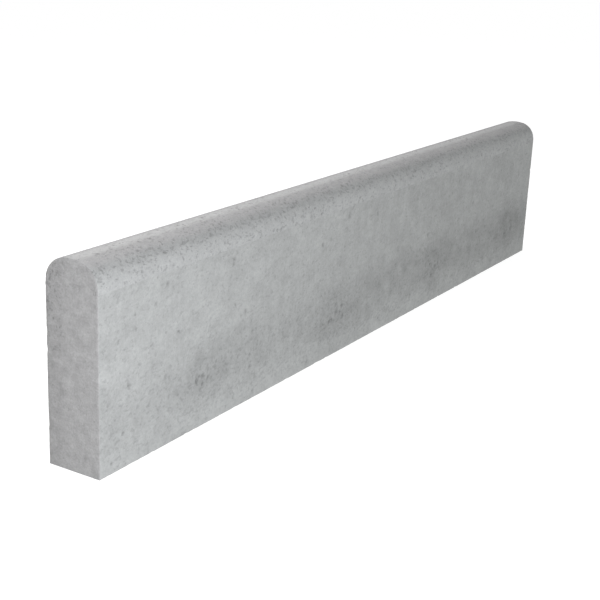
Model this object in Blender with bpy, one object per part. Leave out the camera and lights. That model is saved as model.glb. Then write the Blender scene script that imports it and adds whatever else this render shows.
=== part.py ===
"""Round-top precast concrete edging unit, for the edges of paths, lawns and beds.

The unit is one casting of two concretes, placed wet one on the other and pressed together:
a body of backing concrete, and a rounded head of facing mix. It stands on its bed, with its
length along X, its thickness along Y and its height along Z. The origin is the middle of the bed.
"""

import math

import bmesh
import bpy

# Driving dimensions, in metres.
LENGTH = 1.000
THICKNESS = 0.060
HEIGHT = 0.200
SHOULDER_RADIUS = 0.025    # both long top corners
CROWN_RADIUS = 0.060       # the slight crown between the shoulders
FACING_DEPTH = 0.028       # facing mix, from the top of the crown down
ARRIS_RADIUS = 0.001       # outer edges, as the mould leaves them
LAYER_GAP = 0.0003         # keeps the two bonded layers separate bodies

# Facets of the round stretches.
SHOULDER_STEPS = 24
CROWN_STEPS = 8
ARRIS_STEPS = 3
SHARP_ANGLE = math.radians(35)

# Derived places in the YZ section. The shoulder arcs are tangent to the long faces and to the crown.
HALF_THICKNESS = THICKNESS / 2
LAYER_HEIGHT = HEIGHT - FACING_DEPTH
SHOULDER_Y = HALF_THICKNESS - SHOULDER_RADIUS
CROWN_Z = HEIGHT - CROWN_RADIUS
SHOULDER_Z = CROWN_Z + math.sqrt((CROWN_RADIUS - SHOULDER_RADIUS) ** 2 - SHOULDER_Y ** 2)
CROWN_START = math.atan2(SHOULDER_Z - CROWN_Z, SHOULDER_Y)


def clear_scene():
    for obj in list(bpy.data.objects):
        bpy.data.objects.remove(obj, do_unlink=True)


def concrete(name, colour, roughness):
    """A plain concrete material with one colour and one roughness."""
    material = bpy.data.materials.new(name)
    material.use_nodes = True
    shader = material.node_tree.nodes["Principled BSDF"]
    shader.inputs["Base Color"].default_value = (*colour, 1.0)
    shader.inputs["Roughness"].default_value = roughness
    shader.inputs["Metallic"].default_value = 0.0
    return material


def arc(centre_y, centre_z, radius, start, end, steps):
    """Points of an arc in the section, from the start angle to the end angle, both included."""
    angles = [start + (end - start) * step / steps for step in range(steps + 1)]
    return [(centre_y + radius * math.cos(a), centre_z + radius * math.sin(a)) for a in angles]


def body_outline():
    """The backing concrete's section, a plain rectangle, counterclockwise as seen from +X."""
    top = LAYER_HEIGHT - LAYER_GAP / 2
    return [
        (-HALF_THICKNESS, 0.0),
        (HALF_THICKNESS, 0.0),
        (HALF_THICKNESS, top),
        (-HALF_THICKNESS, top),
    ]


def head_outline():
    """The facing mix's section: flat base, a shoulder, the crown and the other shoulder."""
    base = LAYER_HEIGHT + LAYER_GAP / 2
    crown_end = math.pi - CROWN_START
    outline = [(-HALF_THICKNESS, base), (HALF_THICKNESS, base)]
    outline += arc(SHOULDER_Y, SHOULDER_Z, SHOULDER_RADIUS, 0.0, CROWN_START, SHOULDER_STEPS)
    outline += arc(0.0, CROWN_Z, CROWN_RADIUS, CROWN_START, crown_end, CROWN_STEPS)[1:-1]
    outline += arc(-SHOULDER_Y, SHOULDER_Z, SHOULDER_RADIUS, crown_end, math.pi, SHOULDER_STEPS)
    return outline


def extrude_along_length(outline):
    """A bmesh of the section, swept from one end of the unit to the other."""
    shape = bmesh.new()
    near_end = shape.faces.new(
        [shape.verts.new((-LENGTH / 2, y, z)) for y, z in outline]
    )
    swept = bmesh.ops.extrude_face_region(shape, geom=[near_end])
    moved = [item for item in swept["geom"] if isinstance(item, bmesh.types.BMVert)]
    bmesh.ops.translate(shape, vec=(LENGTH, 0.0, 0.0), verts=moved)
    bmesh.ops.recalc_face_normals(shape, faces=shape.faces)
    return shape


def meets_other_layer(edge):
    """Whether an edge lies in the plane between the two layers, where nothing is rounded."""
    return all(abs(vert.co.z - LAYER_HEIGHT) < LAYER_GAP for vert in edge.verts)


def round_arrises(shape):
    """Rounds every square outer edge: the ends' outlines and the bed's long edges."""
    square = [
        edge
        for edge in shape.edges
        if edge.calc_face_angle(0.0) > SHARP_ANGLE and not meets_other_layer(edge)
    ]
    bmesh.ops.bevel(
        shape,
        geom=square,
        offset=ARRIS_RADIUS,
        offset_type="OFFSET",
        segments=ARRIS_STEPS,
        profile=0.5,
        affect="EDGES",
        clamp_overlap=True,
    )


def add_layer(name, outline, material):
    """One layer of the casting as a named object."""
    shape = extrude_along_length(outline)
    round_arrises(shape)
    mesh = bpy.data.meshes.new(name)
    shape.to_mesh(mesh)
    shape.free()
    mesh.materials.append(material)
    mesh.shade_smooth()
    mesh.set_sharp_from_angle(angle=SHARP_ANGLE)
    layer = bpy.data.objects.new(name, mesh)
    bpy.context.scene.collection.objects.link(layer)
    return layer


clear_scene()
add_layer("backing_body", body_outline(), concrete("backing_concrete", (0.42, 0.43, 0.43), 0.90))
add_layer("facing_head", head_outline(), concrete("facing_concrete", (0.45, 0.45, 0.45), 0.85))
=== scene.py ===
"""Round-top concrete edging unit: the looks of its two concretes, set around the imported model."""

import math

import bpy
from mathutils import Matrix, Vector


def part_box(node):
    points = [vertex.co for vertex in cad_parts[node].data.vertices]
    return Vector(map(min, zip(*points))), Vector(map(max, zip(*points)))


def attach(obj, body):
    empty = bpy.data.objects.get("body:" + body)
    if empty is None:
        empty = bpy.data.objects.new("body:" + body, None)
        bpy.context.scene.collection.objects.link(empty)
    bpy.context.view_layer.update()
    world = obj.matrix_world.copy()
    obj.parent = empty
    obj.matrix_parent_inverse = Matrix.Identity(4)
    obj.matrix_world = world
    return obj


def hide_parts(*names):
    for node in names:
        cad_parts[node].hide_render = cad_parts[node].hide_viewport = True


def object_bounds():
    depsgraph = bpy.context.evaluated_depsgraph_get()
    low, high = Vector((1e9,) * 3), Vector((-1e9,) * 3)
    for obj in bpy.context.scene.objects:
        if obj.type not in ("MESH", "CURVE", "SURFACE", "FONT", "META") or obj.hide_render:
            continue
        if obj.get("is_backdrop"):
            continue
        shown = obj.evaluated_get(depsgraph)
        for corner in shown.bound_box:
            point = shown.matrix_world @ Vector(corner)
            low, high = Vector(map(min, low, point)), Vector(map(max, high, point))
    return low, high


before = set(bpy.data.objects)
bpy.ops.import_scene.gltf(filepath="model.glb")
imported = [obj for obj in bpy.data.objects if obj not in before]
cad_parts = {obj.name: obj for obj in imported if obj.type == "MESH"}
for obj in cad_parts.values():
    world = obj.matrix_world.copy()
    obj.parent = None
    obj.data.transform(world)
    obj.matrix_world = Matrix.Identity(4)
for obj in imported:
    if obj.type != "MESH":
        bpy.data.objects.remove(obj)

cad_low, cad_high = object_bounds()

# ------------------------------------------------------------------------------------------------
# Backing body. The coarse, nearly dry mix that fills the mould first, up to just under the rounded
# head. It is vibrated and pressed, then pushed out of the mould while still green, which leaves a
# cement skin with drag streaks, cloudy damp patches, open pits and slightly worn arrises.
# ------------------------------------------------------------------------------------------------
MILLIMETRE = 0.001

body_low, body_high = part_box("backing_body")
head_low, head_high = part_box("facing_head")
half_length = (body_high[0] - body_low[0]) / 2
half_thickness = (body_high[1] - body_low[1]) / 2
seam_height = (body_high[2] + head_low[2]) / 2      # the two mixes are bonded here, with no gap

# Low on the faces the mix compacts least where the feed frame's bars shade it from the vibration,
# so pits and damp, darker concrete come in patches at an even spacing.
patch_spacing = 257 * MILLIMETRE
first_patch = -345 * MILLIMETRE
patch_height = 50 * MILLIMETRE
patch_reach = 68 * MILLIMETRE        # the damp, darker part
open_reach = 26 * MILLIMETRE         # the open, pitted part in the middle of it

FACE_GREY = (0.276, 0.284, 0.2805)      # the cement skin of the long faces
END_GREY = (0.281, 0.281, 0.281)        # both mixes alike, on the plain butt ends

shared_sizes = {
    "Columns": 600,
    "Half length": half_length,
    "Half thickness": half_thickness,
    "Seam height": seam_height,
    "Arris radius": 1.0 * MILLIMETRE,
    "Chip depth": 0.5 * MILLIMETRE,
    "Unevenness": 0.20 * MILLIMETRE,
}
body_sizes = shared_sizes | {
    "Cells across": 6,
    "Cells up": 72,
    "Drag depth": 0.12 * MILLIMETRE,
    "Grain size": 4.5 * MILLIMETRE,
    "Grain depth": 0.16 * MILLIMETRE,
    "Pits per square metre": 600.0,
    "Pits per square metre in a patch": 12000.0,
    "Smallest pit": 1.3 * MILLIMETRE,
    "Largest pit": 4.2 * MILLIMETRE,
    "Pit steepness": 0.34,
    "Patch spacing": patch_spacing,
    "First patch": first_patch,
    "Patch height": patch_height,
    "Open reach": open_reach,
    "Seed": 7,
}


class Wire:
    """A socket of a node tree. Arithmetic on it adds Math nodes, or Vector Math on vectors."""

    def __init__(self, tree, socket=None):
        self.tree = tree
        self.socket = socket

    def node(self, kind, settings=None, inputs=None, output=0):
        """Any node: its settings are made first, then its sockets get values or links."""
        made = self.tree.nodes.new(kind)
        for name, value in (settings or {}).items():
            setattr(made, name, value)
        takes = [socket for socket in made.inputs if socket.enabled]
        for name, value in (inputs or {}).items():
            socket = next(s for s in takes if name in (s.identifier, s.name))
            if isinstance(value, Wire):
                self.tree.links.new(value.socket, socket)
            else:
                socket.default_value = value
        gives = [socket for socket in made.outputs if socket.enabled]
        if isinstance(output, str):
            return Wire(self.tree, next(s for s in gives if s.name == output))
        return Wire(self.tree, gives[output] if gives else None)

    def math(self, operation, *values):
        inputs = dict(zip(("Value", "Value_001"), values))
        return self.node("ShaderNodeMath", {"operation": operation}, inputs)

    def vector_math(self, operation, *values, output=0):
        inputs = dict(zip(("Vector", "Vector_001"), values))
        return self.node("ShaderNodeVectorMath", {"operation": operation}, inputs, output)

    def arithmetic(self, operation, first, second):
        """Vector Math where either side is a vector or a colour, else Math."""
        sockets = [side.socket for side in (first, second) if isinstance(side, Wire)]
        if all(socket.type in ("VALUE", "INT") for socket in sockets):
            return self.math(operation, first, second)
        pair = (first, second)
        pair = [side if isinstance(side, (Wire, tuple)) else (side,) * 3 for side in pair]
        return self.vector_math(operation, *pair)

    def __add__(self, other):
        return self.arithmetic("ADD", self, other)

    def __radd__(self, other):
        return self.arithmetic("ADD", other, self)

    def __sub__(self, other):
        return self.arithmetic("SUBTRACT", self, other)

    def __rsub__(self, other):
        return self.arithmetic("SUBTRACT", other, self)

    def __mul__(self, other):
        return self.arithmetic("MULTIPLY", self, other)

    def __rmul__(self, other):
        return self.arithmetic("MULTIPLY", other, self)

    def __truediv__(self, other):
        return self.arithmetic("DIVIDE", self, other)

    def __rtruediv__(self, other):
        return self.arithmetic("DIVIDE", other, self)

    def __abs__(self):
        return self.math("ABSOLUTE", self)

    def __round__(self):
        return self.math("ROUND", self)

    def least(self, other):
        return self.math("MINIMUM", self, other)

    def most(self, other):
        return self.math("MAXIMUM", self, other)

    def above(self, other):
        return self.math("GREATER_THAN", self, other)

    def times_wire(self, amount):
        """A vector or colour times a single changing value."""
        return self.vector_math("MULTIPLY", self, self.join(amount, amount, amount))

    def ramp(self, start, end, low=0.0, high=1.0):
        """A smooth step, from low where this is start to high where it is end."""
        inputs = {"Value": self, "From Min": start, "From Max": end, "To Min": low, "To Max": high}
        return self.node("ShaderNodeMapRange", {"interpolation_type": "SMOOTHSTEP"}, inputs)

    def axes(self):
        split = self.node("ShaderNodeSeparateXYZ", {}, {"Vector": self}).socket.node
        return [Wire(self.tree, axis) for axis in split.outputs]

    def join(self, x, y, z):
        return self.node("ShaderNodeCombineXYZ", {}, {"X": x, "Y": y, "Z": z})

    def noise(self, size, detail=2.0, stretch=(1.0, 1.0, 1.0)):
        """Noise at this place, about 0.5, in lumps of the size given, drawn out by stretch."""
        place = self / stretch
        inputs = {"Vector": place, "Scale": 1 / size, "Detail": detail}
        return self.node("ShaderNodeTexNoise", {}, inputs)


def new_layer_tree(name, sizes):
    """A Geometry Nodes tree with a named input for each size, and its wires by those names."""
    tree = bpy.data.node_groups.new(name, "GeometryNodeTree")
    for label, value in sizes.items():
        kind = "NodeSocketInt" if isinstance(value, int) else "NodeSocketFloat"
        tree.interface.new_socket(label, in_out="INPUT", socket_type=kind)
    tree.interface.new_socket("Concrete", in_out="INPUT", socket_type="NodeSocketMaterial")
    tree.interface.new_socket("Layer", in_out="OUTPUT", socket_type="NodeSocketGeometry")
    entry = tree.nodes.new("NodeGroupInput")
    given = {socket.name: Wire(tree, socket) for socket in entry.outputs if socket.name}
    return Wire(tree), given


def block_of_cells(net, given):
    """A closed block of small cells, and each point's place in it: -1 to 1, -1 to 1, 0 to 1."""
    inputs = {
        "Size": (2.0, 2.0, 1.0),
        "Vertices X": given["Columns"] + 1,
        "Vertices Y": given["Cells across"] + 1,
        "Vertices Z": given["Cells up"] + 1,
    }
    block = net.node("GeometryNodeMeshCube", {}, inputs)
    along, across, up = net.node("GeometryNodeInputPosition").axes()
    return block, along, across, up + 0.5


def beside_arris(part, step, inset):
    """Grid lines from 0 to 1, with the two lines next to the edge moved close to it."""
    inner = part * ((1 - 3.5 * inset) / (1 - 2 * step))
    at_edge = part.above(1 - 0.5 * step)
    near_edge = part.above(1 - 1.5 * step) - at_edge
    return inner * (1 - near_edge - at_edge) + (1 - inset) * near_edge + at_edge


def places_along(given, along):
    """Where a column of cells stands along the unit, the same in both layers."""
    inset = given["Arris radius"] / given["Half length"]
    part = beside_arris(abs(along), 2 / given["Columns"], inset)
    return along.math("SIGN", along) * part * given["Half length"]


def moulded(net, block, place, from_arris):
    """The block moved into shape. Each point keeps its distance from the nearest outer arris."""
    marked = net.node(
        "GeometryNodeStoreNamedAttribute",
        {"data_type": "FLOAT", "domain": "POINT"},
        {"Geometry": block, "Name": "from_arris", "Value": from_arris},
    )
    return net.node("GeometryNodeSetPosition", {}, {"Geometry": marked, "Position": place})


def worn_and_pressed(net, given, layer):
    """Arrises rounded and chipped, faces left uneven by the mould, and all of it cut inwards.

    Nothing that belongs to one layer alone reaches the seam, so both end there on one line.
    """
    place = net.node("GeometryNodeInputPosition")
    stored = {"Name": "from_arris"}
    from_arris = net.node("GeometryNodeInputNamedAttribute", {"data_type": "FLOAT"}, stored)
    from_seam = abs(place.axes()[2] - given["Seam height"])
    level = net.join(1.0, 1.0, from_seam.above(0.01 * MILLIMETRE))
    outward = net.vector_math("NORMALIZE", net.node("GeometryNodeInputNormal") * level)

    at_arris = from_arris.ramp(0.0, 0.1 * MILLIMETRE, 1.0, 0.0)
    rounding = given["Arris radius"] * (math.sqrt(2) - 1) * at_arris
    chips = place.noise(11 * MILLIMETRE, 3.0).ramp(0.56, 0.74)
    nicks = place.noise(4 * MILLIMETRE, 1.0).ramp(0.50, 0.75) * 0.35
    worn = (chips + nicks) * given["Chip depth"] * from_arris.ramp(0.0, 3 * MILLIMETRE, 1.0, 0.0)

    own = from_seam.ramp(0.0, 2.5 * MILLIMETRE)
    bulge = place.noise(110 * MILLIMETRE, 1.0) * given["Unevenness"]
    dimples = place.noise(18 * MILLIMETRE) * given["Unevenness"] * 0.35
    drag = place.noise(3.5 * MILLIMETRE, 1.0, stretch=(1.0, 1.0, 14.0)) * given["Drag depth"] * own
    grain = place.noise(given["Grain size"]) * given["Grain depth"] * own
    depth = rounding + worn + bulge + dimples + drag + grain
    inputs = {"Geometry": layer, "Offset": outward.times_wire(depth * -1)}
    return net.node("GeometryNodeSetPosition", {}, inputs), outward, own


def in_patch(place, spacing, first, height, reach):
    """1 in the middle of the nearest patch of poorly compacted mix, and 0 outside its reach."""
    x, _, z = place.axes()
    turns = (x - first) / spacing
    along = (turns - round(turns)) * spacing / reach
    up = (z - height) / (reach * 0.55)
    ragged = (place.noise(30 * MILLIMETRE) - 0.5) * 1.6
    return (along * along + up * up + ragged).ramp(0.0, 1.0, 1.0, 0.0)


def with_pits(net, given, layer, outward, own, crowding, open_texture):
    """Bowl-shaped voids where air was trapped against the mould, as crowded as given per area.

    Most of them are small, with more large ones where open_texture goes from 0 to 1.
    """
    place = net.node("GeometryNodeInputPosition")
    inputs = {"Mesh": layer, "Density": crowding, "Seed": given["Seed"]}
    centres = net.node("GeometryNodeDistributePointsOnFaces", {}, inputs)
    chance = net.node("FunctionNodeRandomValue", {"data_type": "FLOAT"}, {"Seed": given["Seed"]})
    spread = given["Largest pit"] - given["Smallest pit"]
    large = chance * chance * chance * (1 - open_texture) + chance * open_texture
    radius = given["Smallest pit"] + large * spread
    inputs = {"Geometry": centres, "Sample Position": place}
    nearest = net.node("GeometryNodeSampleNearest", {}, inputs)
    inputs = {"Geometry": centres, "Index": nearest}
    pit_radius = net.node(
        "GeometryNodeSampleIndex", {"data_type": "FLOAT"}, inputs | {"Value": radius}
    )
    pit_centre = net.node(
        "GeometryNodeSampleIndex", {"data_type": "FLOAT_VECTOR"}, inputs | {"Value": place}
    )
    away = net.vector_math("DISTANCE", place, pit_centre, output="Value")
    bowl = (away / pit_radius).ramp(0.15, 1.0, 1.0, 0.0) * own
    # The bowl is kept on the points for the painted shade inside the pits.
    marked = net.node(
        "GeometryNodeStoreNamedAttribute",
        {"data_type": "FLOAT", "domain": "POINT"},
        {"Geometry": layer, "Name": "pit_shade", "Value": bowl},
    )
    depth = bowl * pit_radius * given["Pit steepness"]
    inputs = {"Geometry": marked, "Offset": outward.times_wire(depth * -1)}
    return net.node("GeometryNodeSetPosition", {}, inputs)


def finish_layer(net, given, layer):
    """Smooth faces with a crisp edge at the seam, as real geometry with the concrete on it."""
    smooth = net.node("GeometryNodeSetShadeSmooth", {}, {"Geometry": layer, "Shade Smooth": True})
    height = net.node("GeometryNodeInputPosition").axes()[2]
    on_seam = 1 - abs(height - given["Seam height"]).above(0.01 * MILLIMETRE)
    inputs = {"Geometry": smooth, "Selection": on_seam, "Shade Smooth": False}
    creased = net.node("GeometryNodeSetShadeSmooth", {"domain": "EDGE"}, inputs)
    real = net.node("GeometryNodeRealizeInstances", {}, {"Geometry": creased})
    inputs = {"Geometry": real, "Material": given["Concrete"]}
    finished = net.node("GeometryNodeSetMaterial", {}, inputs)
    net.node("NodeGroupOutput", {}, {"Layer": finished})


def cast(name, net, sizes, material):
    """Runs a layer's tree on an empty mesh and keeps the result as the object's own plain mesh."""
    layer = bpy.data.objects.new(name, bpy.data.meshes.new(name))
    bpy.context.scene.collection.objects.link(layer)
    casting = layer.modifiers.new("casting", "NODES")
    casting.node_group = net.tree
    settings = sizes | {"Concrete": material}
    for socket in net.tree.interface.items_tree:
        if socket.in_out == "INPUT":
            casting[socket.identifier] = settings[socket.name]
    depsgraph = bpy.context.evaluated_depsgraph_get()
    mesh = bpy.data.meshes.new_from_object(layer.evaluated_get(depsgraph))
    layer.modifiers.clear()
    layer.data = mesh
    return layer


def body_tree():
    """The body: a plain block with its bed at the bottom and the seam at the top."""
    net, given = new_layer_tree("cast_backing_body", body_sizes)
    block, along, across, up = block_of_cells(net, given)
    inset = given["Arris radius"] / given["Half thickness"]
    x = places_along(given, along)
    y = beside_arris(abs(across), 2 / given["Cells across"], inset) * given["Half thickness"]
    inset = given["Arris radius"] / given["Seam height"]
    z = (1 - beside_arris(1 - up, 1 / given["Cells up"], inset)) * given["Seam height"]
    from_end = given["Half length"] - abs(x)
    from_side = given["Half thickness"] - y
    second_nearest = from_end.most(from_side).least(z).most(from_end.least(from_side))
    place = net.join(x, y * net.math("SIGN", across), z)
    layer = moulded(net, block, place, second_nearest)
    pressed, outward, own = worn_and_pressed(net, given, layer)
    on_face = net.node("GeometryNodeInputPosition")
    spacing, first = given["Patch spacing"], given["First patch"]
    patch = in_patch(on_face, spacing, first, given["Patch height"], given["Open reach"])
    uneven = on_face.noise(45 * MILLIMETRE).ramp(0.35, 0.70, 0.2, 1.8)
    crowding = uneven * given["Pits per square metre"]
    crowding = crowding + patch * given["Pits per square metre in a patch"]
    finish_layer(net, given, with_pits(net, given, pressed, outward, own, crowding, patch))
    return net


def new_concrete(name):
    """A new concrete material: its shader, and its wires from the object's own coordinates."""
    material = bpy.data.materials.new(name)
    material.use_nodes = True
    shader = material.node_tree.nodes["Principled BSDF"]
    net = Wire(material.node_tree)
    return material, shader, net.node("ShaderNodeTexCoord", output="Object")


def colour_between(place, factor, first, second):
    """A colour from the first to the second as the factor goes from 0 to 1."""
    sides = [side if isinstance(side, Wire) else (*side, 1.0) for side in (first, second)]
    inputs = {"Factor_Float": factor, "A_Color": sides[0], "B_Color": sides[1]}
    return place.node("ShaderNodeMix", {"data_type": "RGBA"}, inputs)


def attribute(place, name):
    settings = {"attribute_type": "GEOMETRY", "attribute_name": name}
    return place.node("ShaderNodeAttribute", settings, output="Fac")


def end_face(place):
    """1 on the two butt ends and 0 on the long surfaces."""
    inner = half_length - 1.2 * MILLIMETRE
    return abs(place.axes()[0]).ramp(inner, inner + 0.6 * MILLIMETRE)


def dark_flecks(place, size, crowding):
    """Small dark voids, drawn out along the unit, with more of them as crowding goes up."""
    grain = place.noise(size, 1.0, stretch=(1.4, 1.0, 1.0))
    return (grain + crowding * 0.1).ramp(0.60, 0.74)


def end_tone(place):
    """How light the butt ends are: alike on both mixes, faintly mottled, with painted shade towards
    the back.
    """
    _, y, z = place.axes()
    mottle = place.noise(10 * MILLIMETRE, 5.0) - 0.5
    streak = place.noise(4 * MILLIMETRE, 2.0, stretch=(1.0, 3.0, 1.0)) - 0.5
    sand = place.noise(1.8 * MILLIMETRE, 1.0) - 0.5
    back = y.ramp(0.0, 0.75 * half_thickness)
    corner = back * z.ramp(90 * MILLIMETRE, 165 * MILLIMETRE)
    flecks = dark_flecks(place, 3.6 * MILLIMETRE, corner * 0.8 - 0.2)
    tone = 0.97 + mottle * 0.50 + streak * 0.20 + sand * 0.36
    # Painted shade: the ends up to 10% darker towards the back.
    return tone - flecks * (0.12 + corner * 0.14) - back * 0.10


def show(place, shader, colour, roughness, relief):
    """Puts colour, roughness and a bump node's relief on the shader."""
    looks = {"Base Color": colour, "Roughness": roughness, "Normal": relief}
    for name, wire in looks.items():
        place.tree.links.new(wire.socket, shader.inputs[name])


def body_concrete():
    material, shader, place = new_concrete("backing_concrete")
    x, _, z = place.axes()
    patch = in_patch(place, patch_spacing, first_patch, patch_height, patch_reach)
    low = z.ramp(12 * MILLIMETRE, 48 * MILLIMETRE)
    low = low * z.ramp(66 * MILLIMETRE, 100 * MILLIMETRE, 1.0, 0.0)
    clouds = place.noise(55 * MILLIMETRE, 4.0, stretch=(1.4, 1.0, 1.0)) - 0.5
    mottle = place.noise(12 * MILLIMETRE, 5.0, stretch=(1.4, 1.0, 1.0)) - 0.5
    grit = place.noise(4.2 * MILLIMETRE, 3.0, stretch=(1.2, 1.0, 1.0)) - 0.5
    bars = place.noise(9 * MILLIMETRE, 2.0, stretch=(1.0, 1.0, 5.0)) - 0.5
    dashes = place.noise(4.5 * MILLIMETRE, 2.0, stretch=(4.0, 1.0, 1.0)).ramp(0.62, 0.76)
    # Painted bounce light: the faces lighter below 10 mm, fading out by 30 mm.
    painted_floor_bounce = z.ramp(10 * MILLIMETRE, 30 * MILLIMETRE, 1.0, 0.0)
    open_foot = z.ramp(6 * MILLIMETRE, 16 * MILLIMETRE)
    open_foot = open_foot * z.ramp(20 * MILLIMETRE, 34 * MILLIMETRE, 1.0, 0.0)
    crowding = low * 0.4 + patch * 0.4 + open_foot * 0.9 + clouds
    flecks = dark_flecks(place, 3.4 * MILLIMETRE, crowding)
    sand = place.noise(1.7 * MILLIMETRE, 1.0) - 0.5
    worn = attribute(place, "from_arris").ramp(0.5 * MILLIMETRE, 3.5 * MILLIMETRE, 1.0, 0.0)
    smears = place.noise(11 * MILLIMETRE, 3.0, stretch=(1.7, 1.0, 1.0)).ramp(0.50, 0.68)
    damp_and_painted_falloff = low * x.ramp(-half_length, half_length, 0.06, 0.13)     # the low band darker, and painted shade growing to the far end
    tone = 1.00 + clouds * 0.24 + mottle * 0.32 + grit * 0.26 + bars * 0.14 + sand * 0.26
    tone = tone + smears * 0.05 + worn * 0.02 + painted_floor_bounce * 0.05
    tone = tone - damp_and_painted_falloff - patch * 0.07 - dashes * 0.08 - flecks * 0.12
    # Painted shade: up to 28% darker inside the pits.
    tone = tone - attribute(place, "pit_shade") * 0.28
    ends = end_face(place)
    tone = tone * (1 - ends) + end_tone(place) * ends
    colour = colour_between(place, ends, FACE_GREY, END_GREY).times_wire(tone)
    height = sand * 0.6 - flecks * 0.8 + mottle
    inputs = {"Strength": 0.6, "Distance": 0.4 * MILLIMETRE, "Height": height}
    show(place, shader, colour, 0.88 - mottle * 0.12, place.node("ShaderNodeBump", {}, inputs))
    return material


body = cast("backing_concrete_body", body_tree(), body_sizes, body_concrete())
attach(body, "root")
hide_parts("backing_body")

# ------------------------------------------------------------------------------------------------
# Facing head. A finer, sandier mix spread over the wet backing and pressed with it by a hollow
# tamper, which gives the rounded top. It is open-textured: sand grains stand proud of it, and
# small voids between them show as dark specks, most of all on the two shoulders.
# ------------------------------------------------------------------------------------------------
shoulder_radius = 25 * MILLIMETRE
crown_radius = 60 * MILLIMETRE
crown_height = head_high[2]
SIDE_GREY = (0.281, 0.288, 0.2865)      # the facing mix's own straight sides and shoulders
CROWN_HIGHLIGHT_GREY = (0.2925, 0.291, 0.2925)    # a painted highlight: the top a little paler than the sides

head_sizes = shared_sizes | {
    "Cells across": 50,
    "Cells up": 25,
    "Crown height": crown_height,
    "Shoulder radius": shoulder_radius,
    "Crown radius": crown_radius,
    "Drag depth": 0.04 * MILLIMETRE,
    "Grain size": 2.8 * MILLIMETRE,
    "Grain depth": 0.30 * MILLIMETRE,
    "Pits per square metre": 9500.0,
    "Smallest pit": 1.2 * MILLIMETRE,
    "Largest pit": 2.8 * MILLIMETRE,
    "Pit steepness": 0.38,
    "Seed": 23,
}


def head_outline(net, given, part):
    """The section's outline as half width and height, from the seam (0) to the crown (1).

    It is a short straight side, a shoulder arc and a flatter crown arc, each tangent to the next.
    """
    shoulder = given["Shoulder radius"]
    crown = given["Crown radius"]
    shoulder_y = given["Half thickness"] - shoulder
    reach = crown - shoulder
    lift = net.math("SQRT", reach * reach - shoulder_y * shoulder_y)
    side = given["Crown height"] - crown + lift - given["Seam height"]
    lean = net.math("ARCTAN2", shoulder_y, lift)
    turn = math.pi / 2 - lean
    run = part * (side + shoulder * turn + crown * lean)
    rise = run.least(side)
    angle = ((run - side) / shoulder).most(0.0).least(turn)
    crown_angle = lean - ((run - side - shoulder * turn) / crown).most(0.0)
    width = shoulder_y + shoulder * net.math("COSINE", angle)
    width = width + crown * (net.math("SINE", crown_angle) - net.math("SINE", lean))
    height = rise + shoulder * net.math("SINE", angle)
    height = height + crown * (net.math("COSINE", crown_angle) - net.math("COSINE", lean))
    return width, height


def head_tree():
    """The head: the block's cells drawn out from the middle of its base to the rounded outline."""
    net, given = new_layer_tree("cast_facing_head", head_sizes)
    block, along, across, up = block_of_cells(net, given)
    ring = abs(across).most(up).most(0.0001)
    part = 0.5 * (up / ring + 1 - abs(across) / ring)
    width, height = head_outline(net, given, part)
    inset = given["Arris radius"] / given["Half thickness"]
    spread = beside_arris(ring, 1 / given["Cells up"], inset)
    x = places_along(given, along)
    y = width * spread * net.math("SIGN", across)
    z = height * spread + given["Seam height"]
    from_end = given["Half length"] - abs(x)
    from_outline = (1 - spread) * given["Half thickness"]
    layer = moulded(net, block, net.join(x, y, z), from_end.most(from_outline))
    pressed, outward, own = worn_and_pressed(net, given, layer)
    x = net.node("GeometryNodeInputPosition").axes()[0]
    on_end = abs(x).above(half_length - 2 * MILLIMETRE)
    crowding = (1 - on_end * 0.9) * given["Pits per square metre"]
    finish_layer(net, given, with_pits(net, given, pressed, outward, own, crowding, 0.0))
    return net


def head_concrete():
    material, shader, place = new_concrete("facing_concrete")
    z = place.axes()[2]
    crown = z.ramp(191 * MILLIMETRE, 198 * MILLIMETRE)
    side = z.ramp(184 * MILLIMETRE, 193 * MILLIMETRE, 1.0, 0.0)
    shoulder = 1 - side - crown
    clouds = place.noise(55 * MILLIMETRE, 4.0) - 0.5
    mottle = place.noise(8 * MILLIMETRE, 4.0) - 0.5
    flecks = dark_flecks(place, 2.8 * MILLIMETRE, 0.3 + shoulder * 0.4)
    sand = place.noise(1.7 * MILLIMETRE, 1.0) - 0.5
    # Painted highlight: a pale strip about 10 mm wide, a bright rim on the top from low angles.
    painted_rim_highlight = z.ramp(198.9 * MILLIMETRE, 199.8 * MILLIMETRE)
    # Painted light and shade: the sides 4% and the crown 2% lighter, the shoulders 4% darker.
    tone = 1.04 + side * 0.04 - shoulder * 0.04 + crown * 0.02 + painted_rim_highlight * 0.27
    tone = tone + clouds * 0.16 + mottle * 0.30 + sand * 0.34 - flecks * 0.18
    # Painted shade: up to 26% darker inside the pits.
    tone = tone - attribute(place, "pit_shade") * 0.26
    ends = end_face(place)
    tone = tone * (1 - ends) + end_tone(place) * ends
    # The crown's paler grey is a painted highlight on the top.
    grey = colour_between(place, crown, SIDE_GREY, CROWN_HIGHLIGHT_GREY)
    colour = colour_between(place, ends, grey, END_GREY).times_wire(tone)
    inputs = {"Strength": 0.8, "Distance": 0.5 * MILLIMETRE, "Height": sand - flecks}
    show(place, shader, colour, 0.86 - mottle * 0.12, place.node("ShaderNodeBump", {}, inputs))
    return material


head = cast("facing_concrete_head", head_tree(), head_sizes, head_concrete())
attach(head, "root")
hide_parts("facing_head")

# ------------------------------------------------------------------------------------------------
# Studio. A pale floor lit like a light table, and four plain soft lights: by the near end, in
# front, above and behind, and overhead. The camera stands low in front of the near end.
# ------------------------------------------------------------------------------------------------
FLOOR_REACH = 30.0
FLOOR_GREY = (0.30, 0.30, 0.30, 1.0)
FLOOR_GLOW = 0.83
SURROUNDING_GLOW = 0.48     # what the white room adds; the room itself is seen as plain white
COOL_WHITE = (0.957, 0.957, 1.0)

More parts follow.
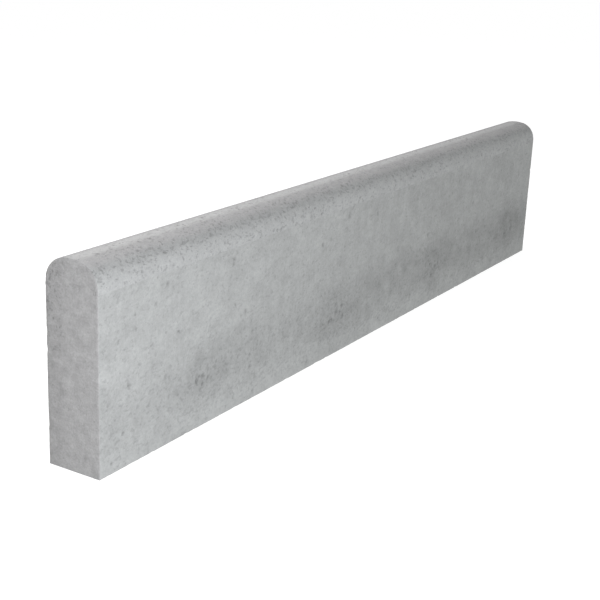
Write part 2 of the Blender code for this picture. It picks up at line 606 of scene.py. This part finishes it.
corners = [(-1, -1), (1, -1), (1, 1), (-1, 1)]
floor_points = [(x * FLOOR_REACH, y * FLOOR_REACH, 0.0) for x, y in corners]
floor_mesh = bpy.data.meshes.new("floor")
floor_mesh.from_pydata(floor_points, [], [(0, 1, 2, 3)])
floor = bpy.data.objects.new("floor", floor_mesh)
bpy.context.scene.collection.objects.link(floor)
floor_material = bpy.data.materials.new("pale_floor")
floor_material.use_nodes = True
floor_shader = floor_material.node_tree.nodes["Principled BSDF"]
floor_shader.inputs["Base Color"].default_value = FLOOR_GREY
floor_shader.inputs["Roughness"].default_value = 1.0
floor_shader.inputs["Emission Color"].default_value = (1.0, 1.0, 1.0, 1.0)
floor_shader.inputs["Emission Strength"].default_value = FLOOR_GLOW
floor_mesh.materials.append(floor_material)
floor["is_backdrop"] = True


def soft_light(name, place, aim, size, power, colour=(1.0, 1.0, 1.0)):
    """A rectangular soft light at a place, turned to face the point it is aimed at."""
    data = bpy.data.lights.new(name, "AREA")
    data.shape = "RECTANGLE"
    data.size, data.size_y = size
    data.energy = power
    data.color = colour
    light = bpy.data.objects.new(name, data)
    light.location = place
    light.rotation_euler = (Vector(aim) - Vector(place)).to_track_quat("-Z", "Y").to_euler()
    light.visible_camera = False
    bpy.context.scene.collection.objects.link(light)


soft_light("near_end_light", (-0.75, -0.6, 0.16), (-0.45, 0.0, 0.1), (0.4, 0.25), 3.25, COOL_WHITE)
soft_light("front_light", (-1.0, -1.45, 0.7), (-0.45, 0.0, 0.1), (0.9, 0.7), 6.9)
soft_light("strip_light", (-0.6, 0.9, 1.1), (-0.3, 0.0, 0.2), (1.2, 0.4), 18.0)
soft_light("top_light", (-0.4, 0.0, 2.5), (-0.2, 0.0, 0.0), (2.5, 2.5), 13.0)

world = bpy.data.worlds.new("studio")
world.use_nodes = True
background = world.node_tree.nodes["Background"]
seen = Wire(world.node_tree).node("ShaderNodeLightPath", output="Is Camera Ray")
strength = seen * (1 - SURROUNDING_GLOW) + SURROUNDING_GLOW
world.node_tree.links.new(strength.socket, background.inputs["Strength"])
background.inputs["Color"].default_value = (1.0, 1.0, 1.0, 1.0)
bpy.context.scene.world = world
bpy.context.scene.view_settings.view_transform = "Standard"

camera_data = bpy.data.cameras.new("camera")
camera_data.sensor_width = 36.0
camera_data.lens = 71.78
camera_data.clip_end = 200.0
camera = bpy.data.objects.new("camera", camera_data)
bpy.context.scene.collection.objects.link(camera)
TURN, TILT, ROLL = math.radians(58.93), math.radians(17.71), math.radians(2.445)
camera.matrix_world = (
    Matrix.Translation((-1.2334, -0.6710, 0.4828))
    @ Matrix.Rotation(-TURN, 4, "Z")
    @ Matrix.Rotation(math.pi / 2 - TILT, 4, "X")
    @ Matrix.Rotation(ROLL, 4, "Z")
)
bpy.context.scene.camera = camera

seen_low, seen_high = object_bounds()
boxes = {"cad": [list(cad_low), list(cad_high)], "visual": [list(seen_low), list(seen_high)]}
